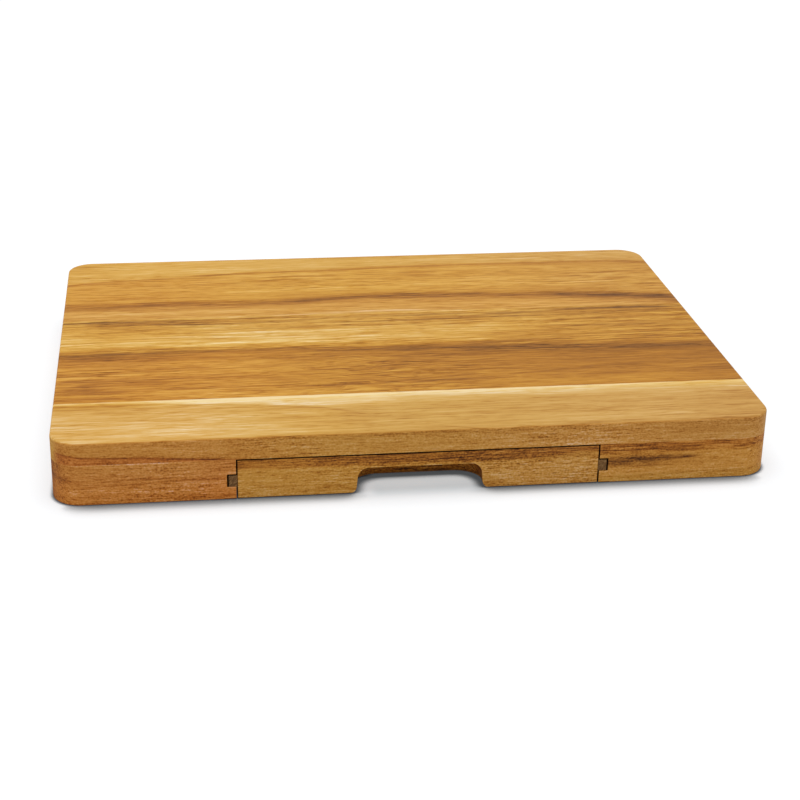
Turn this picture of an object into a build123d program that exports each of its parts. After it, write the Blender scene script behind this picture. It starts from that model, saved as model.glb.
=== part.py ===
from build123d import *
import math
import os

# Wooden cutting board with two shallow trays that slide in under it from the front and the back.
# Millimetres. Origin at the middle of the underside, +X to the right, +Y to the back, +Z up.

# ---- driving dimensions: the board ----
BOARD_LENGTH = 400.0
BOARD_DEPTH = 300.0
BOARD_HEIGHT = 36.5
TOP_THICKNESS = 12.8
CORNER_RADIUS = 16.0
TOP_EDGE_ROUND = 1.2
BOTTOM_EDGE_ROUND = 1.0

# The two straight glue seams of the top slab, and the even staves of the base layer.
TOP_SEAM_FRONT_Y = -95.0
TOP_SEAM_BACK_Y = 36.0
BASE_STAVE_WIDTH = 60.0

# ---- driving dimensions: the bays under the slab ----
BAY_WIDTH = 202.0
WEB_THICKNESS = 16.0
GROOVE_DEPTH = 5.0
GROOVE_BOTTOM_Z = 7.5
GROOVE_HEIGHT = 7.5

# ---- driving dimensions: the tray ----
SIDE_GAP = 0.7
TOP_GAP = 0.8
FLOOR_GAP = 0.3
BACK_GAP = 1.5
FACE_THICKNESS = 30.0
SIDE_THICKNESS = 11.0
BACK_THICKNESS = 10.0
WALL_DROP = 1.0
FACE_RABBET = 10.0
SIDE_DADO = 4.0
PANEL_THICKNESS = 4.0
PANEL_GROOVE = 4.0
PANEL_BOTTOM_Z = 2.6
PANEL_PLAY = 0.2
RIM_ROUND = 1.5
FACE_END_EASE = 0.3

# ---- driving dimensions: the runner strips ----
RUNNER_PROUD = 4.7
RUNNER_HEIGHT = 6.6
RUNNER_REST_GAP = 0.1
RUNNER_HOUSED = 3.0
RUNNER_HOUSING_SETBACK = 26.0
RUNNER_BACK_SETBACK = 3.0

# ---- driving dimensions: the finger pocket in the tray's face ----
POCKET_WIDTH = 70.0
POCKET_REACH = 20.5
POCKET_CEILING_Z = 15.5
POCKET_DRAFT = 5.0
POCKET_CEILING_ROUND = 6.5
POCKET_BACK_RADIUS = 14.0
POCKET_LIP_ROUND = 4.0

# ---- worked out from the dimensions above ----
BASE_HEIGHT = BOARD_HEIGHT - TOP_THICKNESS
FRONT_Y = -BOARD_DEPTH / 2
BAY_END_Y = -WEB_THICKNESS / 2
TRAY_WIDTH = BAY_WIDTH - 2 * SIDE_GAP
TRAY_HALF = TRAY_WIDTH / 2
TRAY_TOP_Z = BASE_HEIGHT - TOP_GAP
TRAY_BACK_Y = BAY_END_Y - BACK_GAP
FACE_BACK_Y = FRONT_Y + FACE_THICKNESS
SIDE_FRONT_Y = FACE_BACK_Y - FACE_RABBET
WALL_TOP_Z = TRAY_TOP_Z - WALL_DROP
PANEL_TOP_Z = PANEL_BOTTOM_Z + PANEL_THICKNESS
RUNNER_BOTTOM_Z = GROOVE_BOTTOM_Z + RUNNER_REST_GAP
RUNNER_TOP_Z = RUNNER_BOTTOM_Z + RUNNER_HEIGHT
RUNNER_HOUSING_Y = FRONT_Y + RUNNER_HOUSING_SETBACK
RUNNER_END_Y = TRAY_BACK_Y - RUNNER_BACK_SETBACK
FAR = 20.0


def block(x_range, y_range, z_range):
    """A box between three pairs of coordinates."""
    size = [high - low for low, high in (x_range, y_range, z_range)]
    middle = [(high + low) / 2 for low, high in (x_range, y_range, z_range)]
    return Pos(*middle) * Box(*size)


def both_ends(part):
    """The part and the same part turned half round to the back of the board."""
    return [part, Rot(0, 0, 180) * part]


# ---- the board ----

def board_envelope():
    """The finished outside of the glued-up board, with its rounded corners and edges."""
    outline = RectangleRounded(BOARD_LENGTH, BOARD_DEPTH, CORNER_RADIUS)
    body = extrude(outline, BOARD_HEIGHT)
    body = fillet(body.faces().sort_by(Axis.Z)[-1].edges(), TOP_EDGE_ROUND)
    return fillet(body.faces().sort_by(Axis.Z)[0].edges(), BOTTOM_EDGE_ROUND)


def stave(envelope, y_range, z_range):
    """One full-length strip of the envelope between two glue seams."""
    half = BOARD_LENGTH / 2 + FAR
    return envelope & block((-half, half), y_range, z_range)


def top_staves(envelope):
    """The slab that is cut on: three staves edge to edge."""
    edges = [FRONT_Y - FAR, TOP_SEAM_FRONT_Y, TOP_SEAM_BACK_Y, -FRONT_Y + FAR]
    z_range = (BASE_HEIGHT, BOARD_HEIGHT + FAR)
    names = ("front", "middle", "back")
    return {f"top_stave_{name}": stave(envelope, y_range, z_range)
            for name, y_range in zip(names, zip(edges, edges[1:]))}


def bay_cut():
    """The space for the front tray, open below and in front, with its two runner grooves."""
    half = BAY_WIDTH / 2
    groove_half = half + GROOVE_DEPTH
    groove_z = (GROOVE_BOTTOM_Z, GROOVE_BOTTOM_Z + GROOVE_HEIGHT)
    y_range = (FRONT_Y - FAR, BAY_END_Y)
    bay = block((-half, half), y_range, (-FAR, BASE_HEIGHT + FAR))
    return bay + block((-groove_half, groove_half), y_range, groove_z)


def base_staves(envelope):
    """The layer under the slab: a full-length middle stave, and four short staves each side."""
    front_bay, back_bay = both_ends(bay_cut())
    half = BOARD_LENGTH / 2 + FAR
    names = ("front", "front_inner", "centre", "back_inner", "back")
    staves = {}
    for row, name in enumerate(names):
        low = FRONT_Y + row * BASE_STAVE_WIDTH
        high = low + BASE_STAVE_WIDTH
        strip = stave(envelope, (low, high), (-FAR, BASE_HEIGHT)) - front_bay - back_bay
        if name == "centre":
            staves["base_centre"] = strip
            continue
        staves[f"base_left_{name}"] = strip & block((-half, 0), (low, high), (-FAR, BOARD_HEIGHT))
        staves[f"base_right_{name}"] = strip & block((0, half), (low, high), (-FAR, BOARD_HEIGHT))
    return staves


# ---- the tray ----

def finger_pocket():
    """The hollow a bowl cutter leaves: drafted walls that turn into the ceiling in one sweep.

    It opens downward and to the front. Its plan at the underside is a slot with rounded inner
    corners, and the walls lean in by the draft on their way up to the ceiling.
    """
    mid_z = (POCKET_CEILING_Z - POCKET_LIP_ROUND) / 2
    flare = (mid_z - FLOOR_GAP) * math.tan(math.radians(POCKET_DRAFT))
    width = POCKET_WIDTH + 2 * flare
    back_y = FRONT_Y + POCKET_REACH + flare
    length = 2 * (back_y - FRONT_Y)
    outline = Pos(0, FRONT_Y, FLOOR_GAP) * RectangleRounded(width, length, POCKET_BACK_RADIUS)
    hollow = extrude(outline, POCKET_CEILING_Z - FLOOR_GAP, taper=POCKET_DRAFT)
    return fillet(hollow.faces().sort_by(Axis.Z)[-1].edges(), POCKET_CEILING_ROUND)


def pocket_lip(face):
    """The edges where the pocket's walls meet the underside."""
    x_reach = POCKET_WIDTH
    margin = 1.0
    low_edges = face.edges().group_by(Axis.Z)[0].filter_by_position(Axis.X, -x_reach, x_reach)
    return low_edges.filter_by_position(Axis.Y, FRONT_Y + margin, FACE_BACK_Y - margin)


def tray_face(envelope):
    """The thick front: rabbeted for the sides, grooved for the panel, hollowed for the fingers.

    Its front and its bottom edge were shaped with the board's, so they carry on the same line.
    """
    z_range = (FLOOR_GAP, TRAY_TOP_Z)
    face = block((-TRAY_HALF, TRAY_HALF), (FRONT_Y, FACE_BACK_Y), z_range)
    face = chamfer(face.edges().filter_by(Axis.Z).group_by(Axis.Y)[0], FACE_END_EASE)
    face -= finger_pocket()
    face = fillet(pocket_lip(face), POCKET_LIP_ROUND)
    face &= Pos(0, 0, FLOOR_GAP) * envelope
    inner_half = TRAY_HALF - SIDE_THICKNESS
    for side in (-1, 1):
        x_range = sorted((side * inner_half, side * (TRAY_HALF + FAR)))
        face -= block(x_range, (SIDE_FRONT_Y, FACE_BACK_Y + FAR), (-FAR, TRAY_TOP_Z + FAR))
    panel_half = inner_half + PANEL_GROOVE
    groove_y = (FACE_BACK_Y - PANEL_GROOVE, FACE_BACK_Y + FAR)
    face -= block((-panel_half, panel_half), groove_y, (PANEL_BOTTOM_Z, PANEL_TOP_Z))
    return face


def tray_side(side):
    """One side wall, from the face's rabbet to the back, with its two grooves and a dado."""
    inner = side * (TRAY_HALF - SIDE_THICKNESS)
    outer = side * TRAY_HALF
    wall = block(sorted((inner, outer)), (SIDE_FRONT_Y, TRAY_BACK_Y), (FLOOR_GAP, WALL_TOP_Z))
    rim = wall.edges().filter_by(Axis.Y).group_by(Axis.Z)[-1]
    wall = fillet(rim, RIM_ROUND)
    panel_x = sorted((inner - side * FAR, inner + side * PANEL_GROOVE))
    wall -= block(panel_x, (SIDE_FRONT_Y - FAR, TRAY_BACK_Y + FAR), (PANEL_BOTTOM_Z, PANEL_TOP_Z))
    housing_x = sorted((outer - side * RUNNER_HOUSED, outer + side * FAR))
    housing_z = (RUNNER_BOTTOM_Z, RUNNER_TOP_Z)
    wall -= block(housing_x, (RUNNER_HOUSING_Y, RUNNER_END_Y), housing_z)
    dado_x = sorted((inner - side * FAR, inner + side * SIDE_DADO))
    dado_y = (TRAY_BACK_Y - BACK_THICKNESS, TRAY_BACK_Y + FAR)
    return wall - block(dado_x, dado_y, (PANEL_TOP_Z, WALL_TOP_Z + FAR))


def tray_back():
    """The back wall stands on the panel and is let into both sides."""
    half = TRAY_HALF - SIDE_THICKNESS + SIDE_DADO
    y_range = (TRAY_BACK_Y - BACK_THICKNESS, TRAY_BACK_Y)
    wall = block((-half, half), y_range, (PANEL_TOP_Z, WALL_TOP_Z))
    rim = wall.edges().filter_by(Axis.X).group_by(Axis.Z)[-1]
    return fillet(rim, RIM_ROUND)


def tray_bottom():
    """The thin panel, held in grooves in the face and the sides and flush with the back."""
    half = TRAY_HALF - SIDE_THICKNESS + PANEL_GROOVE - PANEL_PLAY
    y_range = (FACE_BACK_Y - PANEL_GROOVE + PANEL_PLAY, TRAY_BACK_Y)
    return block((-half, half), y_range, (PANEL_BOTTOM_Z, PANEL_TOP_Z))


def tray_runner(side):
    """One runner strip: flush with the face in front, let into the side wall behind it."""
    outer = side * TRAY_HALF
    proud_x = sorted((outer, outer + side * RUNNER_PROUD))
    housed_x = sorted((outer - side * RUNNER_HOUSED, outer + side * RUNNER_PROUD))
    z_range = (RUNNER_BOTTOM_Z, RUNNER_TOP_Z)
    strip = block(proud_x, (FRONT_Y, RUNNER_END_Y), z_range)
    return strip + block(housed_x, (RUNNER_HOUSING_Y, RUNNER_END_Y), z_range)


def front_tray(envelope):
    """The seven pieces of the tray, in place in the front bay."""
    return {
        "face": tray_face(envelope),
        "left_side": tray_side(-1),
        "right_side": tray_side(1),
        "back": tray_back(),
        "bottom": tray_bottom(),
        "left_runner": tray_runner(-1),
        "right_runner": tray_runner(1),
    }


def both_trays(envelope):
    """The front tray, and the same tray turned half round in the back bay."""
    turned = {"left": "right", "right": "left"}
    pieces = {}
    for name, part in front_tray(envelope).items():
        side, _, rest = name.partition("_")
        rear_name = f"{turned[side]}_{rest}" if side in turned else name
        front_part, rear_part = both_ends(part)
        pieces[f"front_tray_{name}"] = front_part
        pieces[f"rear_tray_{rear_name}"] = rear_part
    return pieces


def all_pieces():
    """Every piece by its name: the slab's staves, the base's staves and the two trays."""
    envelope = board_envelope()
    return {**top_staves(envelope), **base_staves(envelope), **both_trays(envelope)}


os.makedirs("parts", exist_ok=True)
for node, solid in all_pieces().items():
    export_step(solid, f"parts/{node}.step")
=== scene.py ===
import math

import bpy
from mathutils import Matrix, Vector


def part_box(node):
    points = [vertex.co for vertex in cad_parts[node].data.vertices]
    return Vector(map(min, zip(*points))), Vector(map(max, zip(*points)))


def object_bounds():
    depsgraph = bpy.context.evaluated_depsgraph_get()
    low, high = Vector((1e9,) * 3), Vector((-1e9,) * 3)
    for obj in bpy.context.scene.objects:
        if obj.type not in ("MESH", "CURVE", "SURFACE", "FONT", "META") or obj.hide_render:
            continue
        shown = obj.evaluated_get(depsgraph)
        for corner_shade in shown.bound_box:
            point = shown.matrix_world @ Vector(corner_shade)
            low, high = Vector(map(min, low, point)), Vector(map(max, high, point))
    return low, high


# The looks of an oiled wooden cutting board with two trays under it.
# Objects are in metres. Inside the materials, lengths are in millimetres of the board's own frame.

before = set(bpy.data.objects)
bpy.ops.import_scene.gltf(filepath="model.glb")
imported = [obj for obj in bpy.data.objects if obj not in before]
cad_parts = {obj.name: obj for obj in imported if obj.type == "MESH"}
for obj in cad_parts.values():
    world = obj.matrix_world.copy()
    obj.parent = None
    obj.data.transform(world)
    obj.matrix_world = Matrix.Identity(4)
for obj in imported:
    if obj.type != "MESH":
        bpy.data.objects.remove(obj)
cad_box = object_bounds()

MM = 0.001
TOP_Z = cad_box[1].z / MM
FRONT_Y = cad_box[0].y / MM
FRONT_SEAM_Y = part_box("top_stave_front")[1].y / MM
SLAB_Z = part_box("top_stave_front")[0].z / MM
TRAY_TOP_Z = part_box("front_tray_face")[1].z / MM
TRAY_SIDE_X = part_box("front_tray_face")[1].x / MM

# ---- camera: the photograph's angle ----
CAMERA_AZIMUTH = -8.206
CAMERA_ELEVATION = 23.185
CAMERA_ROLL = 1.073
CAMERA_DISTANCE = 0.9772
CAMERA_TARGET = Vector((-0.00588, -0.10707, cad_box[1].z))
SENSOR_WIDTH = 36.0
LENS = 77.607

# ---- light and floor ----
WHITE = (1.0, 1.0, 1.0, 1.0)
BLACK = (0.0, 0.0, 0.0, 1.0)
SKY_FOR_SURFACES = (0.48, 0.48, 0.48, 1.0)
SUN_STRENGTH = 1.635
SUN_ANGLE = 55.0
SUN_FROM = Vector((-0.05, 0.12, 1.0))
FLOOR_SIZE = 8.0
FLOOR_DROP = 0.00005
FLOOR_FOR_SURFACES = (0.74, 0.74, 0.74, 1.0)
FLOOR_LIT = (0.58, 0.58, 0.58, 1.0)
FLOOR_GLOW = 0.50

# ---- the floor's contact shade, from how much sky the floor sees past the board ----
FLOOR_COOLER = (0.968, 0.99, 1.01, 1.0)
CONTACT_SHADE = (0.122, 0.13, 0.138, 1.0)
DEEP_SHADE = (0.02, 0.02, 0.02, 1.0)
SKY_SAMPLES = 16
# The share of the sky at which the contact shade is full, and at which the deep shade begins.
CONTACT_SKY = 0.46
DEEP_SKY = 0.30
DEEP_SKY_IN_POCKET = 0.05
# How far the floor looks for the board, in metres.
REACH_BEFORE = 0.015
REACH_BESIDE = 0.003
REACH_POCKET_LEFT = 0.0085
REACH_POCKET = 0.0075
REACH_IN_BAY = 0.05
# Between which two places one reach gives way to the next: in metres from the board's middle ...
POCKET_LEFT_X = (-0.028, -0.012)
POCKET_OUTSIDE_X = (0.05, 0.09)
CORNER_X = (0.186, 0.204)
BAY_SIDE_X = (0.104, 0.110)
# ... and in metres past its front or back edge.
EDGE_OUT = (-0.002, 0.004)
FACE_BACK_OUT = (-0.026, -0.018)
# The floor of the finger pocket is a little cooler, and dimmer along the board's edge.
POCKET_COOLER = (0.972, 0.995, 1.0, 1.0)
POCKET_FLOOR_LEFT_X = (-0.030, -0.022)
POCKET_FLOOR_RIGHT_X = (0.034, 0.040)
POCKET_FLOOR_OUT = (0.006, -0.001)
POCKET_DIM = 0.155
POCKET_DIM_OUT = -0.001
POCKET_DIM_WIDTH = 0.0065

# ---- the lines in the slab's figure: places along X and Y in millimetres ----
BACK_LINE = ((-200, 103.5), (-177, 109), (-136, 113), (-94, 119), (-74, 121.3), (-27, 120.3), (-5, 123),
             (31, 124.7), (128, 125.6), (170, 124.7), (200, 121))
BACK_BAND = ((-200, 62), (-163, 61), (-136, 64), (-110, 63), (-72, 60.5), (-49, 61.8), (-33, 65),
             (-10, 67), (37, 66.5), (73, 63.8), (128, 60), (156, 56.3), (184, 51.3), (200, 46.5))
PALE_SLANT = ((-200, 100), (-50, 92.5), (198, 80), (200, 80))
SAP_LINE = ((-200, 34.5), (-113, 34.8), (-60, 36), (-38, 37.6), (-16, 38.8), (17, 38.4), (37, 36.4),
            (62, 35.2), (100, 34.2), (200, 34))
MIDDLE_BAND = ((-200, -23), (-160, -22.3), (-120, -20.8), (-75, -20.8), (-25, -25), (25, -29),
               (75, -34.5), (125, -37.2), (200, -38))
ARC_LINE = ((-200, -64), (-170, -64), (-135, -63.5), (-108, -60.5), (-80, -52), (-60, -43), (200, -40))
LOW_LINE = ((-200, -81), (-100, -79), (0, -81), (60, -76), (120, -66), (200, -60))
HEART_CURVE = ((-200, -98), (-149, -100), (-122, -102.8), (-94, -106), (-72, -109.4), (-49, -114.4),
               (-33, -121.4), (-22, -128.3), (-15, -139.4), (-13, -152), (200, -175))
# The line on the slab's front edge: places along X and Z.
FRONT_EDGE_LINE = ((-200, 29.6), (-194, 29.2), (-176, 27.8), (-148, 26.8), (-129, 25.5),
                   (-114, 24.5), (-99, 23.6), (-60, 20), (200, 12))

# Single dark streaks before the back seam: x, y, half length, half thickness, slope, depth.
SEAM_STREAKS = ((-176, 32.0, 36, 2.3, 0.00, 0.28), (-128, 31.0, 30, 1.8, 0.00, 0.08),
                (-126, 25.0, 28, 1.4, -0.08, 0.24), (-112, 19.5, 22, 1.2, -0.06, 0.12),
                (-74, 25.0, 34, 1.7, 0.02, 0.19), (-74, 32.0, 24, 1.2, 0.03, 0.07),
                (-30, 29.0, 26, 1.6, 0.06, 0.16), (-20, 21.0, 30, 1.5, -0.02, 0.15),
                (-62, 14.0, 34, 1.3, 0.02, 0.13), (28, 29.5, 30, 2.1, 0.00, 0.25),
                (22, 20.5, 30, 1.6, 0.02, 0.15), (8, 13.5, 32, 1.3, 0.00, 0.12),
                (84, 27.5, 24, 2.4, 0.00, 0.25), (78, 22.0, 26, 1.7, -0.03, 0.20),
                (128, 32.0, 24, 2.2, 0.00, 0.26), (126, 23.0, 30, 2.0, 0.00, 0.13),
                (170, 31.5, 24, 2.6, -0.03, 0.33), (166, 24.0, 24, 1.6, 0.00, 0.12),
                (160, 1.0, 40, 2.0, -0.03, 0.10), (140, 13.0, 26, 1.2, 0.00, 0.08))
# Soft patches of the slab's figure, pale above 0 and dark below: x, y, half length, half width, tone.
BACK_PATCHES = ((-95, 131, 50, 11, 0.08), (-168, 140, 24, 7, 0.10), (-176, 94, 16, 5, -0.05),
                (-140, 104, 24, 5, 0.05), (-50, 98, 22, 6, -0.05), (-152, 41, 34, 7, 0.08),
                (-112, 66, 22, 5, 0.07), (112, 143, 22, 4, 0.07), (-20, 45, 90, 3, 0.02),
                (118, 110, 46, 6, 0.07), (146, 88, 26, 4, 0.05), (112, 80, 16, 4, -0.07),
                (176, 80, 14, 3.5, 0.07), (-46, 65, 22, 6, -0.10), (-88, 44, 34, 10, 0.07),
                (164, 50, 26, 6, -0.07), (95, 45, 24, 5, 0.05))
MIDDLE_PATCHES = ((-160, 26, 26, 6, -0.11), (-84, 14, 30, 7, 0.07), (20, 24, 30, 4, 0.03),
                  (24, 5, 28, 12, -0.06), (112, 17.5, 16, 3, -0.06), (130, 10, 28, 4, 0.06),
                  (-168, 3, 24, 4, -0.09), (184, -10, 14, 9, 0.07), (184, 18, 12, 4, 0.07),
                  (-16, 3, 14, 4, 0.07), (-104, -9, 42, 6, 0.15), (6, -16, 26, 5, -0.06),
                  (-158, -34, 28, 8, -0.07), (-48, -31, 14, 4, 0.06), (-95, -55, 46, 6, 0.10),
                  (-180, -74, 16, 11, -0.14), (-182, -51, 14, 3.5, 0.08), (32, -80, 28, 5, -0.12),
                  (28, -66, 28, 4, 0.08), (16, -45, 34, 5, -0.07), (30, -88, 30, 3.5, 0.07),
                  (130, -86, 52, 5, 0.07), (110, -66, 18, 3, 0.05), (-60, -87, 36, 4, 0.05))
FRONT_PATCHES = ((-168, -107.5, 32, 5, -0.11), (-88, -112, 30, 4, -0.04), (-50, -112, 16, 6, 0.05),
                 (-14, -121, 16, 5, 0.06), (-150, -136, 40, 6, 0.04), (-176, -129, 14, 3.5, -0.06),
                 (24, -130, 18, 5, 0.04), (90, -142, 34, 5, 0.04), (-60, -143, 34, 5, 0.05),
                 (-184, -94.5, 20, 4, 0.09), (-128, -101.5, 38, 5, 0.08), (-72, -108, 26, 4, 0.09),
                 (34, -101, 38, 5, 0.06), (86, -97, 28, 4, 0.04))
# Streaks of the left and right blocks and the tray's face, on the front: x, z and the other figures of
# the single streaks above. One with a depth below 0 is pale.
LEFT_MARKS = ((-193, 14.5, 10, 1.6, -0.15, 0.16), (-150, 14.0, 34, 0.5, 0.00, 0.13),
              (-124, 12.6, 24, 0.6, 0.01, 0.16), (-180, 10.5, 14, 0.5, 0.08, 0.12),
              (-170, 5.0, 20, 0.5, 0.00, 0.07), (-118, 2.6, 18, 0.8, 0.03, 0.14),
              (-165, 11.6, 13, 1.8, -0.04, 0.10), (-147, 6.5, 12, 1.3, 0.00, -0.07),
              (-120, 9.3, 16, 1.2, 0.00, -0.06))
RIGHT_MARKS = ((118, 22.4, 18, 1.0, 0.00, 0.22), (148, 21.6, 20, 1.4, 0.02, 0.14),
               (176, 22.0, 18, 1.2, 0.02, 0.09), (126, 19.2, 20, 0.9, 0.02, 0.25),
               (152, 18.4, 13, 0.8, 0.04, 0.24), (182, 19.2, 10, 0.7, 0.04, 0.20),
               (116, 12.8, 18, 2.6, 0.03, 0.50), (142, 14.2, 16, 1.4, 0.04, 0.28),
               (152, 14.0, 4, 0.6, 0.00, 0.28), (128, 9.4, 10, 0.6, 0.03, 0.14),
               (134, 4.0, 26, 0.6, 0.03, 0.08), (176, 4.6, 24, 0.7, 0.02, 0.08),
               (156, 10.8, 20, 2.2, 0.00, 0.06))
FACE_MARKS = ((-20, 21.7, 9, 0.9, 0.00, 0.10), (22, 21.4, 15, 1.0, 0.00, -0.11),
              (30, 17.5, 12, 1.3, 0.00, 0.12), (50, 18.2, 7, 2.2, 0.00, 0.13),
              (-50, 15.0, 10, 1.4, 0.00, 0.08), (-48, 20.6, 7, 1.3, 0.00, 0.09),
              (-66, 17.4, 16, 1.5, 0.00, -0.06), (82, 20.6, 11, 1.3, 0.00, -0.07),
              (62, 4.6, 13, 2.4, 0.00, -0.09), (90, 9.0, 9, 1.4, 0.00, -0.09))


def srgb(red, green, blue):
    """The linear colour of an 8-bit screen colour."""
    def linear(value):
        value = value / 255
        return value / 12.92 if value <= 0.04045 else ((value + 0.055) / 1.055) ** 2.4
    return (linear(red), linear(green), linear(blue), 1.0)


# The colours that a piece of this wood runs through, from its darkest vein to its palest sapwood.
GOLDEN = ((0.00, srgb(56, 30, 10)), (0.24, srgb(108, 65, 21)), (0.36, srgb(140, 88, 26)),
          (0.46, srgb(164, 106, 31)), (0.56, srgb(184, 124, 39)), (0.66, srgb(202, 145, 52)),
          (0.74, srgb(212, 158, 62)), (0.82, srgb(222, 172, 79)), (0.92, srgb(235, 198, 120)),
          (1.00, srgb(245, 219, 163)))
GREYISH = ((0.00, srgb(30, 20, 12)), (0.40, srgb(82, 57, 34)), (0.70, srgb(126, 92, 56)),
           (1.00, srgb(172, 138, 94)))
# What a hue field multiplies those colours by.
ORANGE = (1.02, 0.86, 0.80, 1.0)
RUSTY = (1.07, 0.76, 0.95, 1.0)
PINKISH = (1.00, 1.00, 1.52, 1.0)
STRAW = (0.975, 1.09, 1.75, 1.0)
GREYER = (0.94, 1.03, 1.30, 1.0)
DEEPER = (1.00, 1.00, 0.84, 1.0)

# ---- fibres, pores and sheen ----
# How far the fibres wander to the sides, in millimetres.
FIBRE_WANDER = 1.2
# How much further the dark fibres go than the light ones.
DARKER_FIBRES = 1.15
# How much tone the pores take, and how much of the fibres' tone is left on sawn ends.
PORE_DEPTH = 0.11
END_FIBRES = 0.5
BUMP_STRENGTH = 0.3
BUMP_DISTANCE = 0.00025
# The roughness of oiled wood and of the bare runners.
SATIN = 0.56
BARE = 0.7
SPECULAR = 0.12
WOOD_IOR = 1.45

# ---- painted shade in the gaps round the trays, darkest at their mouths ----
# How far in the painted shade darkens the wood, in millimetres.
SLAB_SHADE_REACH = 4.0
BLOCK_SHADE_REACH = 9.0
FACE_SIDE_SHADE_REACH = 5.0
FACE_TOP_SHADE_REACH = 2.8
RUNNER_SHADE_REACH = 4.0
# How much tone the painted shade takes.
BAY_SHADE_DEPTH = 0.74
FACE_SHADE_DEPTH = 0.66
RUNNER_SHADE_DEPTH = 0.6
# The runner grooves end 106 mm from the middle, and the painted shade fades out just past them.
GROOVE_END_X = (107.0, 108.0)


class Graph:
    """Short calls that add nodes to one material and link them."""

    def __init__(self, tree):
        self.tree = tree

    def node(self, kind, inputs=(), **settings):
        made = self.tree.nodes.new(kind)
        for name, value in settings.items():
            setattr(made, name, value)
        for key, value in dict(inputs).items():
            self.put(made.inputs[key], value)
        return made

    def put(self, socket, value):
        if isinstance(value, bpy.types.NodeSocket):
            self.tree.links.new(value, socket)
        else:
            socket.default_value = value

    def math(self, operation, *values):
        return self.node("ShaderNodeMath", enumerate(values), operation=operation).outputs[0]

    def size(self, value):
        return self.math("ABSOLUTE", value)

    def larger(self, a, b):
        return self.math("MAXIMUM", a, b)

    def add(self, a, b):
        return self.math("ADD", a, b)

    def sub(self, a, b):
        return self.math("SUBTRACT", a, b)

    def mul(self, a, b):
        return self.math("MULTIPLY", a, b)

    def total(self, first, *rest):
        for value in rest:
            first = self.add(first, value)
        return first

    def product(self, first, *rest):
        for value in rest:
            first = self.mul(first, value)
        return first

    def step(self, value, low, high, start=0.0, end=1.0):
        """Goes smoothly from start to end as value goes from low to high."""
        made = self.node("ShaderNodeMapRange", interpolation_type="SMOOTHSTEP")
        for socket, number in zip(made.inputs[:5], (value, low, high, start, end)):
            self.put(socket, number)
        return made.outputs[0]

    def bell(self, distance, width):
        """1 on the line and falling off to nothing at about twice width."""
        ratio = self.math("DIVIDE", distance, width)
        return self.math("EXPONENT", self.mul(self.mul(ratio, ratio), -1.0))

    def between(self, value, low, high, fade):
        """1 between low and high, with soft ends fade wide."""
        return self.mul(self.step(value, low - fade, low), self.step(value, high, high + fade, 1.0, 0.0))

    def blend(self, factor, a, b):
        """a where factor is 0, b where it is 1."""
        return self.add(self.mul(a, self.sub(1.0, factor)), self.mul(b, factor))

    def vector(self, x, y, z):
        return self.node("ShaderNodeCombineXYZ", enumerate((x, y, z))).outputs[0]

    def split(self, vector):
        return self.node("ShaderNodeSeparateXYZ", {0: vector}).outputs[:3]

    def noise(self, point, lengths, seed=0.0, detail=2.0, rough=0.5):
        """Noise about 0, from -0.5 to 0.5, whose features are as long as lengths say."""
        inverse = tuple(1.0 / length for length in lengths)
        scaled = self.node("ShaderNodeVectorMath", {0: point, 1: inverse, 2: (seed, seed, seed)},
                           operation="MULTIPLY_ADD").outputs[0]
        made = self.node("ShaderNodeTexNoise", {"Vector": scaled, "Scale": 1.0, "Detail": detail,
                                                "Roughness": rough})
        return self.sub(made.outputs[0], 0.5)

    def curve(self, x, points, low=-200.0, high=200.0):
        """A smooth line through a few points: its height at x."""
        made = self.node("ShaderNodeFloatCurve")
        self.put(made.inputs["Value"], self.math("DIVIDE", self.sub(x, low), high - low))
        line = made.mapping.curves[0]
        made.mapping.use_clip = False
        places = [((px - low) / (high - low), (py - low) / (high - low)) for px, py in points]
        while len(line.points) < len(places):
            line.points.new(0.5, 0.5)
        for point, place in zip(line.points, places):
            point.location = place
        made.mapping.update()
        return self.add(self.mul(made.outputs[0], high - low), low)

    def ramp(self, value, stops):
        made = self.node("ShaderNodeValToRGB", {0: value})
        elements = made.color_ramp.elements
        while len(elements) < len(stops):
            elements.new(0.5)
        for element, (place, colour) in zip(elements, stops):
            element.position = place
            element.color = colour
        return made.outputs[0]

    def mix(self, factor, a, b, kind="MIX"):
        made = self.node("ShaderNodeMix", data_type="RGBA", blend_type=kind)
        for index, value in ((0, factor), (6, a), (7, b)):
            self.put(made.inputs[index], value)
        return made.outputs[2]


def blank_graph(owner):
    """The emptied node tree of a material or a world."""
    owner.use_nodes = True
    owner.node_tree.nodes.clear()
    return Graph(owner.node_tree)


# ---- what all the wood shares ----

def grain_space(g, along):
    """Where a point is in millimetres, and how its face lies.

    grain has the direction along the grain first. end is 1 on sawn ends, and edge is 1 on
    upright faces.
    """
    source = g.node("ShaderNodeTexCoord")
    scaled = g.node("ShaderNodeVectorMath", {0: source.outputs["Object"], "Scale": 1 / MM},
                    operation="SCALE").outputs[0]
    x, y, z = g.split(scaled)
    normal = g.split(source.outputs["Normal"])
    facing = g.size(normal[0] if along == "X" else normal[1])
    grain = g.vector(x, y, z) if along == "X" else g.vector(y, x, z)
    return {"x": x, "y": y, "z": z, "grain": grain, "normal": normal,
            "end": g.step(facing, 0.80, 0.97), "edge": g.step(g.size(normal[2]), 0.8, 0.4)}


def bend(g, grain, amount, seed):
    """The same coordinates with the fibres wandering to the sides by about amount."""
    u, v, w = g.split(grain)
    side = g.mul(g.noise(grain, (75, 30, 30), seed), 2 * amount)
    small = g.mul(g.noise(grain, (18, 7, 7), seed + 3.0), 0.6 * amount)
    return g.vector(u, g.total(v, side, small), g.add(w, side))


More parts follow.
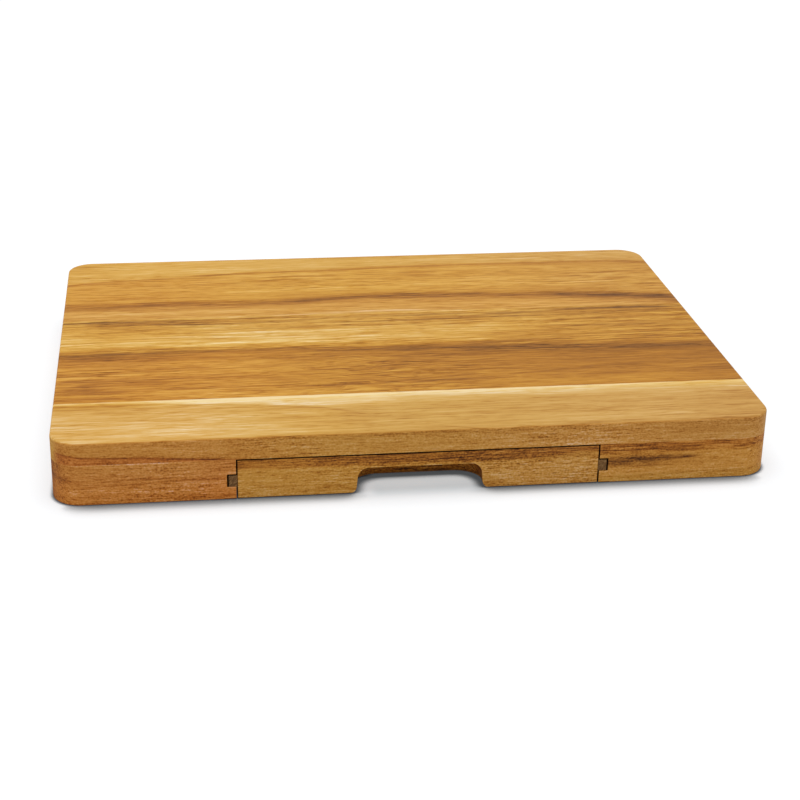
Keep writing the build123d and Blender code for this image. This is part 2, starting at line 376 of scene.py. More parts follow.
def streaks(g, grain, seed, edge):
    """Light and dark lines along the grain, stronger in some patches than in others.

    On the flat they are broad; on a board's edge (edge = 1) the layers lie closer together.
    """
    patch = g.add(g.mul(g.noise(grain, (90, 22, 22), seed + 29.0), 2.4), 1.0)
    flecks = g.step(g.noise(grain, (13, 1.5, 1.5), seed + 31.0, detail=1.0), 0.06, 0.22)
    broad = g.mul(g.noise(grain, (130, 9, 9), seed, detail=3.0), 0.24)
    flat = g.total(g.mul(g.noise(grain, (46, 2.2, 2.2), seed + 7.0, detail=3.0, rough=0.6), 0.50),
                   g.mul(g.noise(grain, (15, 0.75, 0.75), seed + 11.0), 0.50),
                   g.mul(flecks, -0.06))
    close = g.total(g.mul(g.noise(grain, (36, 1.5, 1.5), seed + 8.0, detail=3.0), 0.30),
                    g.mul(g.noise(grain, (13, 0.5, 0.5), seed + 12.0, detail=2.0, rough=0.6), 0.44),
                    g.mul(g.noise(grain, (2.6, 0.45, 0.45), seed + 13.0, detail=1.0), 0.30),
                    g.mul(g.noise(grain, (1.2, 1.0, 1.0), seed + 14.0, detail=1.0), 0.36))
    return g.add(broad, g.mul(g.blend(edge, flat, close), patch))


def dashes(g, grain, seed):
    """Short dark pore marks along the grain, crowded in some patches."""
    dash = g.noise(grain, (8.5, 0.62, 0.62), seed + 17.0, detail=1.0)
    patch = g.mul(g.noise(grain, (60, 12, 12), seed + 19.0), 0.3)
    return g.step(g.add(dash, patch), 0.10, 0.21)


def end_grain(g, space, seed):
    """Tone of the sawn ends: curved rings and fine open pores."""
    u, v, w = g.split(space["grain"])
    across = g.add(g.mul(v, 0.16), g.mul(g.noise(space["grain"], (40, 30, 30), seed), 2.5))
    drop = g.add(w, 26.0)
    radius = g.math("SQRT", g.add(g.mul(across, across), g.mul(drop, drop)))
    ring = g.math("SINE", g.mul(g.add(radius, g.mul(g.noise(space["grain"], (9, 9, 3), seed), 1.4)), 2.1))
    pores = g.step(g.noise(space["grain"], (2.0, 0.42, 0.42), seed + 5.0, detail=1.0), 0.12, 0.22)
    return g.total(g.mul(ring, 0.04), g.mul(pores, -0.16), -0.15)


def wood(name, along, look, palette, seed, roughness=SATIN):
    """A material whose tone and hues come from look(g, space), and whose fibres and pores come from here.

    look gives a tone from 0 (darkest) to 1 (palest), the hue fields (how much, and what it multiplies
    by) and how strongly the fibres show.
    """
    material = bpy.data.materials.new(name)
    g = blank_graph(material)
    space = grain_space(g, along)
    tone, hues, gain = look(g, space)
    fibres = bend(g, space["grain"], FIBRE_WANDER, seed)
    fibre = g.mul(streaks(g, fibres, seed, space["edge"]), gain)
    fibre = g.sub(fibre, g.mul(g.mul(fibre, fibre), DARKER_FIBRES))
    pores = g.mul(dashes(g, fibres, seed), gain)
    face_tone = g.total(tone, fibre, g.mul(pores, -PORE_DEPTH))
    end_tone = g.total(tone, end_grain(g, space, seed), g.mul(fibre, END_FIBRES))
    colour = g.ramp(g.larger(g.blend(space["end"], face_tone, end_tone), 0.0), palette)
    for amount, tint in hues:
        colour = g.mix(amount, colour, g.mix(1.0, colour, tint, "MULTIPLY"))
    relief = g.total(g.mul(fibre, 0.8), g.mul(pores, -0.35),
                     g.mul(g.noise(fibres, (5.0, 0.3, 0.3), seed + 23.0), 0.25))
    bump = g.node("ShaderNodeBump", {"Strength": BUMP_STRENGTH, "Distance": BUMP_DISTANCE,
                                     "Height": relief})
    rough = g.total(roughness, g.mul(fibre, -0.25), g.mul(pores, 0.18), g.mul(space["end"], 0.16))
    shader = g.node("ShaderNodeBsdfPrincipled", {"Base Color": colour, "Roughness": rough,
                                                 "Normal": bump.outputs[0]})
    shader.inputs["Specular IOR Level"].default_value = SPECULAR
    shader.inputs["IOR"].default_value = WOOD_IOR
    out = g.node("ShaderNodeOutputMaterial", {"Surface": shader.outputs[0]})
    out.is_active_output = True
    return material


# ---- drawing in the figure ----

def broken(g, x, y, seed, much=2.2):
    """A factor about 1 that thins a vein out and makes it stronger again along its way."""
    return g.add(g.mul(g.noise(g.vector(x, y, 0.0), (26, 1.3, 1), seed, detail=3.0), much), 1.0)


def vein(g, x, y, path, core, depth, behind, before, wobble, seed):
    """Tone taken off along a dark line, with softer shade behind it (+Y) and before it (-Y).

    behind and before are a reach and a depth, or None. The distance past the line comes back too.
    """
    place = g.vector(x, y, 0.0)
    wander = g.mul(g.noise(place, (26, 30, 1), seed, detail=3.0), wobble)
    fray = g.mul(g.noise(place, (11, 2.0, 1), seed + 1.0), g.mul(core, 1.2))
    distance = g.total(g.sub(y, g.curve(x, path)), wander, fray)
    parts = [g.mul(g.bell(distance, core), depth)]
    if behind:
        shade = g.step(distance, 0.0, behind[0], behind[1], 0.0)
        parts.append(g.mul(shade, g.step(distance, -0.8, 0.4)))
    if before:
        shade = g.step(distance, -before[0], 0.0, 0.0, before[1])
        parts.append(g.mul(shade, g.step(distance, 0.8, -0.4)))
    return g.mul(g.total(*parts), broken(g, x, y, seed + 2.0)), distance


def mark(g, x, y, figures, seed):
    """Tone taken off by one long streak that starts and ends softly."""
    middle_x, middle_y, half_length, half_thickness, slope, depth = figures
    reach = g.sub(x, middle_x)
    wander = g.mul(g.noise(g.vector(x, 0.0, 0.0), (14, 1, 1), seed), 1.6 * half_thickness)
    height = g.total(g.sub(y, middle_y), g.mul(reach, -slope), wander)
    shape = g.mul(g.bell(reach, half_length), g.bell(height, half_thickness))
    return g.mul(shape, depth)


def marks(g, x, y, table, seed):
    """Every streak of a table, broken up along the grain."""
    parts = [mark(g, x, y, figures, seed + index) for index, figures in enumerate(table)]
    return g.mul(g.total(*parts), broken(g, x, y, seed + 50.0, 1.6))


def patches(g, x, y, table, seed):
    """What the soft patches of a table add to the tone, their outlines wandering a little."""
    wander = g.mul(g.noise(g.vector(x, y, 0.0), (40, 9, 1), seed), 9.0)
    place = g.vector(x, g.add(y, wander), 0.0)
    parts = []
    for middle_x, middle_y, half_length, half_width, tone in table:
        scale = (1 / half_length, 1 / half_width, 0.0)
        shift = (-middle_x / half_length, -middle_y / half_width, 0.0)
        reach = g.node("ShaderNodeVectorMath", {0: place, 1: scale, 2: shift}, operation="MULTIPLY_ADD")
        square = g.node("ShaderNodeVectorMath", {0: reach.outputs[0], 1: reach.outputs[0]},
                        operation="DOT_PRODUCT").outputs["Value"]
        parts.append(g.mul(g.math("EXPONENT", g.mul(square, -1.0)), tone))
    return g.total(*parts)


def behind_front(g, space):
    """How far a point lies behind the nearer of the board's front and back faces."""
    return g.sub(-FRONT_Y, g.size(space["y"]))


def painted_gap_shade(g, space, reach):
    """1 in the opening of a gap round a tray, where painted shade darkens the wood.

    It begins just behind the front, so that the front itself stays unshaded, and ends at reach.
    """
    behind = behind_front(g, space)
    return g.mul(g.step(behind, 0.03, 0.2), g.step(behind, 0.4 * reach, reach, 1.0, 0.0))


def bay_painted_shade(g, space, reach):
    """What the painted shade in the opening of a bay and its runner grooves takes off the board's tone."""
    at_bay = g.step(g.size(space["x"]), *GROOVE_END_X, 1.0, 0.0)
    return g.product(at_bay, painted_gap_shade(g, space, reach), BAY_SHADE_DEPTH)


def specks(g, place, lengths, seed, low=0.08, high=0.22):
    """Scattered dark specks, 1 in each and 0 between them."""
    return g.step(g.noise(place, lengths, seed, detail=1.0), low, high)


# ---- the slab's three staves: one figure that runs over all of them ----
# In every look, places and widths are in millimetres, and depths and strengths are shares of 1.

def slab_place(g, space):
    """Where a point of the slab lies in the figure: growth layers lean as they go down."""
    x, y, z = space["x"], space["y"], space["z"]
    depth = g.sub(TOP_Z, z)
    return x, g.add(y, g.mul(depth, 0.9)), depth


def sap(g, x, y):
    """The pale wavy line at the back seam, widest a little left of the middle."""
    swell = g.bell(g.add(x, 15.0), 60.0)
    line = g.bell(g.sub(y, g.curve(x, SAP_LINE)), g.add(1.4, g.mul(swell, 1.2)))
    return g.product(line, g.add(g.mul(swell, 0.08), 0.06), broken(g, x, y, 21.0, 1.0))


def back_look(g, space):
    """The back stave: gold between two dark lines, straw behind them and pinkish before them."""
    x, y, depth = slab_place(g, space)
    place = g.vector(x, y, depth)
    line, past_line = vein(g, x, y, BACK_LINE, g.step(x, 60.0, 180.0, 1.8, 2.8), 0.13, (6.0, 0.02),
                           (8.0, 0.04), 0.8, 1.0)
    thick = g.step(x, -120.0, -62.0, 5.2, g.step(x, 90.0, 150.0, 4.2, 6.4))
    deep = g.step(x, -60.0, -20.0, 0.10, g.step(x, 90.0, 170.0, 0.125, 0.20))
    band, past_band = vein(g, x, y, BACK_BAND, thick, deep, (11.0, 0.13), (16.0, 0.15), 1.4, 5.0)
    behind = g.step(x, 20.0, 190.0, 0.755, 0.715)
    gold = g.add(g.step(x, 40.0, 180.0, 0.70, 0.655), g.product(g.bell(g.sub(y, 87.0), 8.0), 0.035))
    tone = g.blend(g.step(past_line, -4.0, 3.0), gold, behind)
    pink_zone = g.add(0.69, g.mul(g.noise(place, (60, 7, 11), 49.0), 0.12))
    tone = g.blend(g.step(past_band, -6.0, 0.0), pink_zone, tone)
    slant = g.product(g.bell(g.sub(y, g.curve(x, PALE_SLANT)), 1.6), g.step(x, -70.0, -20.0), 0.05)
    cloud = g.mul(g.noise(place, (80, 11, 11), 41.0), 0.16)
    dots = g.product(specks(g, place, (9, 1.4, 4), 45.0), g.bell(g.sub(y, 87.0), 9.0),
                     g.between(x, 50.0, 150.0, 25.0), 0.09)
    pale_line = sap(g, x, y)
    patched = patches(g, x, y, BACK_PATCHES, 65.0)
    tone = g.sub(g.total(tone, cloud, slant, pale_line, patched), g.total(line, band, dots))
    edge_straw = g.mul(g.step(past_line, -2.0, 6.0), g.step(x, -150.0, -40.0, 0.20, 0.48))
    edge_straw = g.total(edge_straw, g.mul(pale_line, 3.5), g.step(x, 70.0, 170.0, 0.0, 0.22))
    pink = g.blend(g.step(past_band, -6.0, 2.0), 0.75, g.step(x, -120.0, 170.0, -0.2, 0.35))
    pink = g.larger(pink, 0.0)
    orange = g.product(g.step(x, -40.0, -150.0), g.between(y, 66.0, 104.0, 14.0), 0.30)
    gain = g.blend(g.step(past_band, -6.0, 2.0), 0.85, g.step(y, 110.0, 126.0, 1.0, 0.8))
    deep = g.mul(g.bell(past_band, 7.0), 0.55)
    return tone, ((edge_straw, STRAW), (pink, PINKISH), (orange, ORANGE), (deep, DEEPER)), gain


def middle_look(g, space):
    """The middle stave: a dark band, with pale streaked wood behind it and brown wood before it."""
    x, y, depth = slab_place(g, space)
    place = g.vector(x, y, depth)
    right = g.step(g.sub(x, g.mul(y, 2.0)), 20.0, 130.0)
    reach = g.step(x, -60.0, 60.0, 12.0, 20.0)
    shade = g.step(x, -60.0, 100.0, 0.19, 0.13)
    under = g.step(x, -150.0, -60.0, 0.10, 0.05)
    band, past = vein(g, x, y, MIDDLE_BAND, 4.8, g.step(x, -60.0, 100.0, 0.125, 0.085), (reach, shade),
                      (16.0, under), 1.2, 9.0)
    seam_zone = g.step(y, 9.0, 14.0)
    pale = g.blend(right, 0.79, 0.605)
    pale = g.sub(pale, g.mul(seam_zone, g.blend(right, 0.07, -0.01)))
    brown = g.sub(g.step(x, -110.0, 20.0, 0.625, 0.545), g.step(x, 40.0, 190.0, 0.0, 0.055))
    brown = g.add(brown, g.mul(g.bell(g.sub(y, FRONT_SEAM_Y), 14.0), 0.06))
    tone = g.blend(g.step(past, -3.0, 3.0), brown, pale)
    warp = g.mul(g.noise(place, (42, 20, 9), 61.0), 40.0)
    swirl = g.noise(g.vector(x, g.add(y, warp), depth), (60, 3.0, 9), 63.0, detail=3.0)
    feather = g.add(0.14, g.mul(g.bell(g.sub(x, -18.0), 36.0), 0.62))
    swirl = g.product(swirl, feather, g.step(past, -4.0, -14.0))
    arc, _ = vein(g, x, y, ARC_LINE, 1.4, 0.09, None, (7.0, 0.03), 1.5, 15.0)
    arc = g.mul(arc, g.step(x, -135.0, -85.0, 1.0, 0.25))
    low, _ = vein(g, x, y, LOW_LINE, 1.6, 0.06, None, None, 3.0, 17.0)
    cloud = g.mul(g.noise(place, (70, 8, 9), 43.0), g.step(x, 20.0, -100.0, 0.18, 0.27))
    layers = g.product(g.noise(place, (80, 2.8, 9), 47.0), g.step(past, 4.0, 16.0), 0.45)
    whites = g.product(specks(g, place, (26, 1.2, 5), 57.0, 0.04, 0.20), g.step(past, 6.0, 14.0), 0.03)
    dark_dots = g.product(specks(g, place, (9, 1.2, 5), 53.0, 0.08, 0.20),
                          g.step(y, -10.0, 16.0, 0.05, 0.13), g.step(past, 0.0, 6.0))
    streaked = marks(g, x, y, SEAM_STREAKS, 300.0)
    patched = patches(g, x, y, MIDDLE_PATCHES, 67.0)
    tone = g.total(tone, cloud, swirl, layers, whites, sap(g, x, y), patched)
    tone = g.sub(tone, g.total(band, arc, low, dark_dots, streaked))
    orange = g.mul(g.step(past, 0.0, -6.0), g.step(x, -120.0, -30.0, 0.42, 0.08))
    straw = g.product(g.step(past, 8.0, 20.0), g.sub(1.0, g.mul(right, 0.4)),
                      g.step(x, -160.0, -90.0, 0.08, 0.27))
    grey = g.math("MINIMUM", g.mul(streaked, 4.0), 1.0)
    gain = g.blend(g.step(past, -3.0, 6.0), g.step(x, -60.0, 150.0, 1.15, 0.65), 1.2)
    deep = g.mul(g.bell(past, 8.0), 0.6)
    return tone, ((orange, ORANGE), (straw, STRAW), (grey, GREYER), (deep, DEEPER)), gain


def front_edge_tone(g, x, z):
    """The slab's front edge, where a dark line dips to the right and parts off redder wood.

    The distance above that line comes back too.
    """
    line, past = vein(g, x, z, FRONT_EDGE_LINE, 0.6, 0.21, None, (2.0, 0.05), 0.8, 13.0)
    cloud = g.mul(g.noise(g.vector(x, z, 0.0), (50, 3.0, 1), 57.0, detail=3.0), 0.12)
    light = g.mul(specks(g, g.vector(x, z, 0.0), (13, 0.6, 1), 59.0, 0.02, 0.24), 0.05)
    line = g.mul(line, g.step(x, -198.0, -186.0, 0.45, 1.0))
    # Painted shade towards the rounded left corner.
    corner_shade = g.mul(g.step(x, -187.0, -198.0), 0.13)
    middle = g.between(x, -40.0, 90.0, 30.0)
    upper = g.mul(middle, g.step(z, 32.5, 34.5, 0.0, 0.06))
    lower = g.mul(g.step(x, -70.0, -10.0), g.step(z, 29.5, 26.5, 0.0, 0.045))
    spots = g.add(g.mul(g.bell(g.sub(x, 94.0), 16.0), 0.05), g.mul(g.bell(g.add(x, 48.0), 16.0), 0.04))
    upper = g.add(upper, g.product(g.bell(g.sub(x, 20.0), 14.0), g.step(z, 33.0, 34.5), 0.08))
    tone = g.total(g.blend(g.step(past, -0.6, 0.4), 0.627, 0.687), cloud, light, lower, spots)
    return g.sub(tone, g.total(line, corner_shade, upper)), past


def front_look(g, space):
    """The front stave: pale straw, with a warmer heart at the left that curves to the front."""
    x, y, depth = slab_place(g, space)
    place = g.vector(x, y, depth)
    heart_shade = g.step(x, -110.0, -150.0, 0.07, 0.12)
    curve, past = vein(g, x, y, HEART_CURVE, 1.8, 0.13, None, (10.0, heart_shade), 1.4, 71.0)
    left = g.step(x, -12.0, -60.0)
    curve = g.mul(curve, left)
    crest = g.product(g.step(past, 0.0, 3.0), g.between(x, -120.0, -22.0, 22.0),
                      g.step(y, -119.0, -104.0), 0.08)
    outside = g.sub(1.0, g.mul(left, g.step(past, 3.0, -3.0)))
    patch = g.mul(g.step(g.add(y, g.mul(x, 0.06)), -112.0, -126.0), g.step(x, -40.0, -120.0))
    heart = g.add(0.725, g.mul(patch, 0.095))
    straw = g.step(x, 120.0, 190.0, 0.69, 0.65)
    glow = g.mul(g.step(y, FRONT_SEAM_Y - 20.0, FRONT_SEAM_Y - 3.0), g.step(x, -195.0, -120.0, 0.2, 1.0))
    thread = g.mul(g.bell(g.sub(y, FRONT_SEAM_Y - 1.4), 2.2), g.step(x, -205.0, -150.0, 0.20, 0.12))
    patched = patches(g, x, y, FRONT_PATCHES, 69.0)
    zone = g.total(g.blend(outside, heart, straw), g.mul(glow, 0.175), thread, crest, patched)
    cloud = g.mul(g.noise(place, (60, 7, 9), 73.0), 0.17)
    top = g.sub(g.add(zone, cloud), curve)
    edge = g.step(space["normal"][1], -0.35, -0.8)
    edge_tone, above_line = front_edge_tone(g, x, space["z"])
    tone = g.blend(edge, top, edge_tone)
    far_left = g.step(x, -90.0, -130.0)
    seam_light = g.add(g.step(y, FRONT_SEAM_Y - 8.0, FRONT_SEAM_Y - 2.0, 0.0, 0.9), g.mul(crest, 6.0))
    heart_straw = g.blend(far_left, 0.66, g.step(y, -134.0, -118.0, 0.29, 0.42))
    top_straw = g.sub(g.blend(outside, heart_straw, 1.0), seam_light)
    top_straw = g.mul(g.sub(1.0, edge), g.larger(top_straw, 0.0))
    top_pink = g.add(g.step(x, 0.0, 160.0, 0.10, 0.45), g.mul(far_left, 0.22))
    top_pink = g.mul(top_pink, g.step(y, FRONT_SEAM_Y - 13.0, FRONT_SEAM_Y - 6.0, 1.0, 0.0))
    warm = g.mul(edge, g.add(g.step(x, -130.0, -40.0, 0.40, 0.10), g.step(x, 0.0, 110.0, 0.0, 0.13)))
    low_rust = g.product(edge, g.step(x, -80.0, -110.0), g.step(above_line, 0.9, -0.5), 0.5)
    pink = g.blend(edge, top_pink, g.step(x, -90.0, 60.0, 0.75, 1.0))
    greyer = g.mul(edge, g.step(x, 110.0, 180.0, 0.0, 0.38))
    # Painted shade on the slab's underside, just inside the bay's opening.
    underside = g.step(space["normal"][2], -0.6, -0.9)
    tone = g.sub(tone, g.mul(underside, bay_painted_shade(g, space, SLAB_SHADE_REACH)))
    hues = ((top_straw, STRAW), (warm, RUSTY), (low_rust, RUSTY), (pink, PINKISH), (greyer, GREYER))
    edge_gain = g.add(0.98, g.mul(g.between(x, -80.0, 95.0, 25.0), 0.42))
    return tone, hues, g.blend(edge, 0.75, edge_gain)


# ---- base, trays and runners ----

def plain_look(base, seed, orange=0.3):
    """A quiet figure of wandering bands, for wood that the photograph doesn't show."""
    def look(g, space):
        u, v, w = g.split(space["grain"])
        leaning = g.vector(u, g.add(v, g.mul(w, 1.3)), w)
        bands = g.noise(leaning, (150, 11, 11), seed, detail=3.0)
        dark = g.step(g.noise(leaning, (110, 5, 5), seed + 4.0), 0.06, 0.22)
        tone = g.total(base, g.mul(bands, 0.34), g.mul(dark, -0.13))
        warm = g.mul(g.step(bands, -0.15, 0.15, 1.0, 0.2), orange)
        return tone, ((warm, ORANGE),), 1.0
    return look


def left_block_look(g, space):
    """The block left of the tray: tan at the top and redder towards the bottom and the tray."""
    x, z = space["x"], space["z"]
    place = g.vector(x, z, space["y"])
    cloud = g.mul(g.noise(place, (45, 2.4, 6), 81.0, detail=3.0), 0.11)
    fine = g.product(specks(g, place, (11, 0.5, 2), 83.0, 0.06, 0.22), g.bell(g.sub(z, 12.5), 7.0), 0.12)
    height = g.sub(g.add(0.708, g.mul(g.bell(g.sub(z, 7.5), 4.0), 0.075)), g.step(z, 18.0, 22.0, 0.0, 0.03))
    tone = g.sub(g.add(height, cloud), g.add(fine, marks(g, x, z, LEFT_MARKS, 400.0)))
    tone = g.add(tone, g.product(g.step(z, SLAB_Z - 0.8, SLAB_Z - 0.3), g.step(x, -108.0, -140.0), 0.16))
    # Painted shade towards the rounded left corner.
    tone = g.sub(tone, g.mul(g.step(x, -187.0, -198.0), 0.14))
    # Painted shade just inside the bay's opening.
    tone = g.sub(tone, bay_painted_shade(g, space, BLOCK_SHADE_REACH))
    reddening = g.add(g.step(z, 22.0, 3.0, 0.50, 0.80), g.step(x, -135.0, -105.0, 0.0, 0.12))
    reddening = g.mul(reddening, g.step(space["y"], FRONT_Y + 2.0, FRONT_Y + 26.0, 1.0, 0.2))
    return tone, ((reddening, RUSTY), (g.step(z, 4.0, 18.0, 0.3, 0.9), PINKISH)), 1.15


def right_block_look(g, space):
    """The block right of the tray: dark streaks under the slab and a grey smudge by the runner."""
    x, z = space["x"], space["z"]
    place = g.vector(x, z, space["y"])
    cloud = g.mul(g.noise(place, (38, 2.2, 6), 91.0, detail=3.0), 0.18)
    border = g.add(15.5, g.mul(g.sub(x, 110.0), 0.03))
    fine = g.product(specks(g, place, (18, 0.55, 2), 93.0, -0.04, 0.16),
                     g.step(g.sub(z, border), 0.0, 3.0), 0.25)
    streaked = marks(g, x, z, RIGHT_MARKS, 420.0)
    tone = g.sub(g.add(g.step(z, 14.0, 20.0, 0.71, 0.66), cloud), g.add(fine, streaked))
    # Painted shade just inside the bay's opening.
    tone = g.sub(tone, bay_painted_shade(g, space, BLOCK_SHADE_REACH))
    rust = g.add(g.step(z, 16.0, 22.0, 0.0, 0.20), g.step(z, 2.0, 7.0, 0.12, 0.31))
    grey = g.product(g.math("MINIMUM", g.mul(streaked, 4.0), 1.0), g.step(z, 17.5, 15.5))
    return tone, ((rust, RUSTY), (grey, GREYER), (0.52, PINKISH)), 1.15


def face_look(g, space):
    """A tray's face: a dark streaked band at its top edge, gold below it, and painted shade in its finger
    pocket and in the gaps round it.
    """
    x, z = space["x"], space["z"]
    place = g.vector(x, z, space["y"])
    cloud = g.mul(g.noise(place, (36, 2.6, 6), 101.0, detail=3.0), 0.18)
    behind = behind_front(g, space)
    drop = g.step(x, 55.0, 100.0, 7.6, 3.8)
    near = g.step(g.sub(TRAY_TOP_Z, z), drop, g.mul(drop, 0.5))
    near = g.mul(near, g.step(behind, 3.0, 14.0, 1.0, 0.0))
    band = g.mul(near, g.add(g.mul(specks(g, place, (20, 0.7, 3), 103.0, -0.10, 0.16), 0.17), 0.17))
    band = g.product(band, g.step(x, -75.0, -20.0, 0.88, 1.30), g.step(x, 0.0, 60.0, 1.0, 0.80))
    fine = g.product(specks(g, place, (6, 0.55, 2), 105.0, 0.06, 0.20), g.step(x, -60.0, 60.0, 0.17, 0.20))
    # Painted shade inside the finger pocket, broken up by cut marks; flat faces that look down near the
    # floor are left out.
    flat_under = g.mul(g.step(space["normal"][2], -0.85, -0.97), g.step(z, 3.0, 1.0))
    pocket = g.product(g.step(behind, 0.8, 3.0), g.step(behind, 25.0, 29.0, 1.0, 0.0),
                       g.step(z, 15.0, 13.0), g.sub(1.0, flat_under))
    cut_marks_in_shade = g.mul(g.noise(g.vector(x, space["y"], z), (1.7, 1.0, 1.0), 107.0), 0.5)
    pocket = g.mul(pocket, g.add(0.23, cut_marks_in_shade))
    # Painted shade in the gaps at the face's sides and top.
    at_side = g.step(g.size(x), TRAY_SIDE_X - 0.4, TRAY_SIDE_X - 0.15)
    at_top = g.step(z, TRAY_TOP_Z - 0.4, TRAY_TOP_Z)
    gap = g.larger(g.mul(at_side, painted_gap_shade(g, space, FACE_SIDE_SHADE_REACH)),
                   g.mul(at_top, painted_gap_shade(g, space, FACE_TOP_SHADE_REACH)))
    gap = g.mul(gap, FACE_SHADE_DEPTH)
    streaked = g.mul(marks(g, x, z, FACE_MARKS, 440.0), g.step(behind, 3.0, 14.0, 1.0, 0.0))
    tone = g.sub(g.add(0.734, cloud), g.total(band, fine, pocket, gap, streaked))
    pink = g.step(x, 0.0, 60.0, 0.50, 0.85)
    rust = g.add(g.mul(near, 0.20), 0.13)
    return tone, ((rust, RUSTY), (pink, PINKISH)), 1.35


def runner_look(g, space):
    """A grey-brown strip, with its sawn end in view at the front."""
    x, z = space["x"], space["z"]
    tone = g.add(0.84, g.mul(g.noise(space["grain"], (30, 1.5, 1.5), 111.0, detail=3.0), 0.3))
    sawn = g.noise(g.vector(g.add(x, z), g.sub(x, z), 0.0), (3.2, 1.1, 1.0), 113.0, detail=3.0)
    tone = g.add(tone, g.product(space["end"], sawn, 0.9))
    # The runner's end takes painted shade where it sits inside the groove.
    return g.sub(tone, g.mul(painted_gap_shade(g, space, RUNNER_SHADE_REACH), RUNNER_SHADE_DEPTH)), (), 1.0


def paint(node, material):
    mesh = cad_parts[node].data
    mesh.materials.clear()
    mesh.materials.append(material)


def paint_board():
    paint("top_stave_front", wood("pale front stave", "X", front_look, GOLDEN, 1.0))
    paint("top_stave_middle", wood("brown middle stave", "X", middle_look, GOLDEN, 2.0))
    paint("top_stave_back", wood("golden back stave", "X", back_look, GOLDEN, 3.0))
    paint("base_left_front", wood("left block", "X", left_block_look, GOLDEN, 4.0))
    paint("base_right_front", wood("right block", "X", right_block_look, GOLDEN, 5.0))
    rows = ("left_front_inner", "left_back_inner", "left_back", "right_front_inner",
            "right_back_inner", "right_back", "centre")
    for index, row in enumerate(rows):
        look = plain_look(0.60 + 0.04 * ((index * 2) % 4), 20.0 + index, 0.25 * (index % 3))
        paint("base_" + row, wood("base " + row.replace("_", " "), "X", look, GOLDEN, 6.0 + index))


def paint_tray(tray, seed):
    paint(tray + "_face", wood(tray + " face", "X", face_look, GOLDEN, seed))
    for index, piece in enumerate(("left_side", "right_side")):
        look = plain_look(0.66 + 0.03 * index, seed + 30.0 + index)
        paint(f"{tray}_{piece}", wood(f"{tray} {piece}", "Y", look, GOLDEN, seed + 1.0 + index))
    paint(tray + "_back", wood(tray + " back", "X", plain_look(0.67, seed + 35.0), GOLDEN, seed + 4.0))
    panel = plain_look(0.75, seed + 36.0, 0.1)
    paint(tray + "_bottom", wood(tray + " bottom", "X", panel, GOLDEN, seed + 5.0))
    for index, piece in enumerate(("left_runner", "right_runner")):
        runner = wood(f"{tray} {piece}", "Y", runner_look, GREYISH, seed + 6.0 + index, BARE)
        paint(f"{tray}_{piece}", runner)


# ---- the room ----

def camera_sees(g, surface_colour, camera_colour):
    """camera_colour for rays that show the background, surface_colour for light on the object."""
    path = g.node("ShaderNodeLightPath").outputs
    seen = g.larger(g.larger(path["Is Camera Ray"], path["Is Glossy Ray"]), path["Is Transmission Ray"])
    return g.mix(seen, surface_colour, camera_colour)


def make_world():
    world = bpy.data.worlds.new("studio")
    bpy.context.scene.world = world
    g = blank_graph(world)
    colour = camera_sees(g, SKY_FOR_SURFACES, WHITE)
    background = g.node("ShaderNodeBackground", {"Color": colour, "Strength": 1.0})
    g.node("ShaderNodeOutputWorld", {"Surface": background.outputs[0]})


def contact_reach(g, x, out):
    """How far the floor looks for the board: little beside it, more before it, most in the bays.

    x is across the board, and out is how far past its front or back edge a point lies.
    """
    across = g.size(x)
    pocket = g.step(x, *POCKET_LEFT_X, REACH_POCKET_LEFT, REACH_POCKET)
    under = g.step(across, *POCKET_OUTSIDE_X, pocket, REACH_BESIDE)
    before = g.step(across, *CORNER_X, REACH_BEFORE, REACH_BESIDE)
    reach = g.step(out, *EDGE_OUT, under, before)
    in_bay = g.mul(g.step(across, *BAY_SIDE_X, 1.0, 0.0), g.step(out, *FACE_BACK_OUT, 1.0, 0.0))
    return g.blend(in_bay, reach, REACH_IN_BAY)


def floor_shade(g):
    """What the floor's white is multiplied by: the darker, the less sky it sees past the board."""
    x, y, _ = g.split(g.node("ShaderNodeTexCoord").outputs["Object"])
    out = g.add(g.size(y), FRONT_Y * MM)
    open_sky = g.node("ShaderNodeAmbientOcclusion", {"Distance": contact_reach(g, x, out)},
                      samples=SKY_SAMPLES).outputs["AO"]
    shade = g.mix(g.step(open_sky, CONTACT_SKY, 1.0), CONTACT_SHADE, FLOOR_COOLER)
    pocket_wide = g.mul(g.step(x, *POCKET_FLOOR_LEFT_X), g.step(x, *POCKET_FLOOR_RIGHT_X, 1.0, 0.0))
    in_pocket = g.mul(pocket_wide, g.step(out, *POCKET_FLOOR_OUT))
    deep_from = g.blend(in_pocket, DEEP_SKY, DEEP_SKY_IN_POCKET)
    shade = g.mix(g.step(open_sky, 0.0, deep_from), DEEP_SHADE, shade)
    shade = g.mix(in_pocket, shade, g.mix(1.0, shade, POCKET_COOLER, "MULTIPLY"))
    dim = g.product(pocket_wide, g.bell(g.sub(out, POCKET_DIM_OUT), POCKET_DIM_WIDTH), POCKET_DIM)
    return g.mix(dim, shade, BLACK)


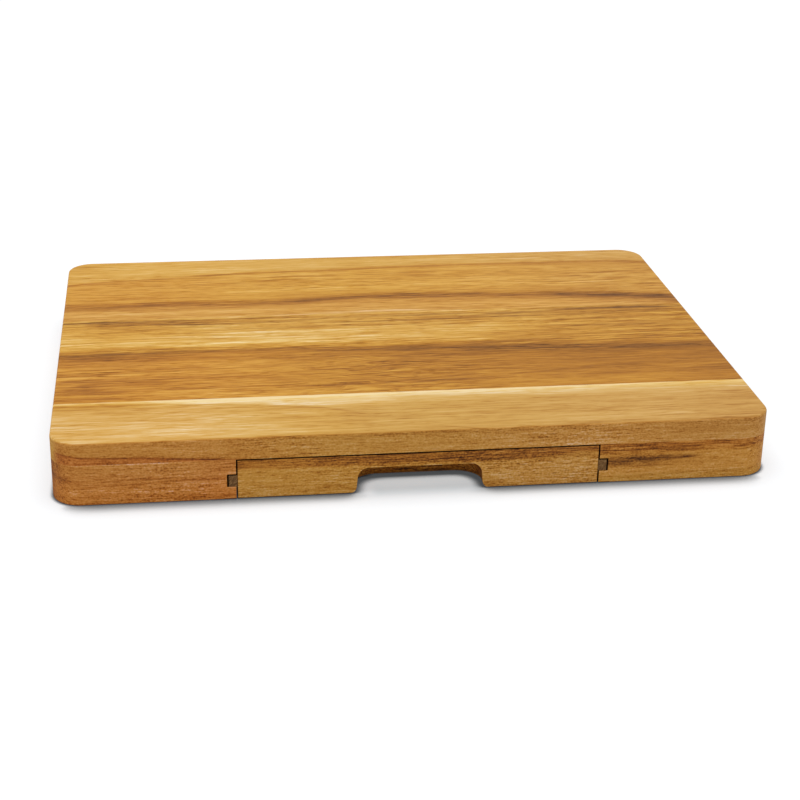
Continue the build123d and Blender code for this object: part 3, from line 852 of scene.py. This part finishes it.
def make_floor():
    """A white floor that keeps the board's shadow, deepest where the two nearly touch."""
    bpy.ops.mesh.primitive_plane_add(size=FLOOR_SIZE, location=(0.0, 0.0, cad_box[0].z - FLOOR_DROP))
    floor = bpy.context.object
    floor.name = "floor"
    material = bpy.data.materials.new("floor")
    g = blank_graph(material)
    shade = floor_shade(g)
    colour = camera_sees(g, FLOOR_FOR_SURFACES, g.mix(1.0, shade, FLOOR_LIT, "MULTIPLY"))
    glow = camera_sees(g, BLACK, shade)
    lit = g.node("ShaderNodeBsdfDiffuse", {"Color": colour})
    own = g.node("ShaderNodeEmission", {"Color": glow, "Strength": FLOOR_GLOW})
    both = g.node("ShaderNodeAddShader", {0: lit.outputs[0], 1: own.outputs[0]})
    g.node("ShaderNodeOutputMaterial", {"Surface": both.outputs[0]})
    floor.data.materials.append(material)


def make_sun():
    data = bpy.data.lights.new("soft sun", "SUN")
    data.energy = SUN_STRENGTH
    data.angle = math.radians(SUN_ANGLE)
    lamp = bpy.data.objects.new("soft sun", data)
    lamp.location = SUN_FROM
    lamp.rotation_mode = "QUATERNION"
    lamp.rotation_quaternion = (-SUN_FROM).to_track_quat("-Z", "Y")
    bpy.context.scene.collection.objects.link(lamp)


def make_camera():
    azimuth, elevation, roll = map(math.radians, (CAMERA_AZIMUTH, CAMERA_ELEVATION, CAMERA_ROLL))
    back = Vector((math.sin(azimuth) * math.cos(elevation), -math.cos(azimuth) * math.cos(elevation),
                   math.sin(elevation)))
    level = Vector((math.cos(azimuth), math.sin(azimuth), 0.0))
    upright = back.cross(level)
    right = math.cos(roll) * level + math.sin(roll) * upright
    up = -math.sin(roll) * level + math.cos(roll) * upright
    data = bpy.data.cameras.new("camera")
    data.sensor_width = SENSOR_WIDTH
    data.lens = LENS
    data.clip_start = 0.01
    data.clip_end = 50.0
    camera = bpy.data.objects.new("camera", data)
    turn = Matrix((right, up, back)).transposed().to_4x4()
    camera.matrix_world = Matrix.Translation(CAMERA_TARGET + back * CAMERA_DISTANCE) @ turn
    bpy.context.scene.collection.objects.link(camera)
    bpy.context.scene.camera = camera


paint_board()
paint_tray("front_tray", 31.0)
paint_tray("rear_tray", 51.0)
make_world()
make_floor()
make_sun()
make_camera()
bpy.context.scene.view_settings.view_transform = "Standard"
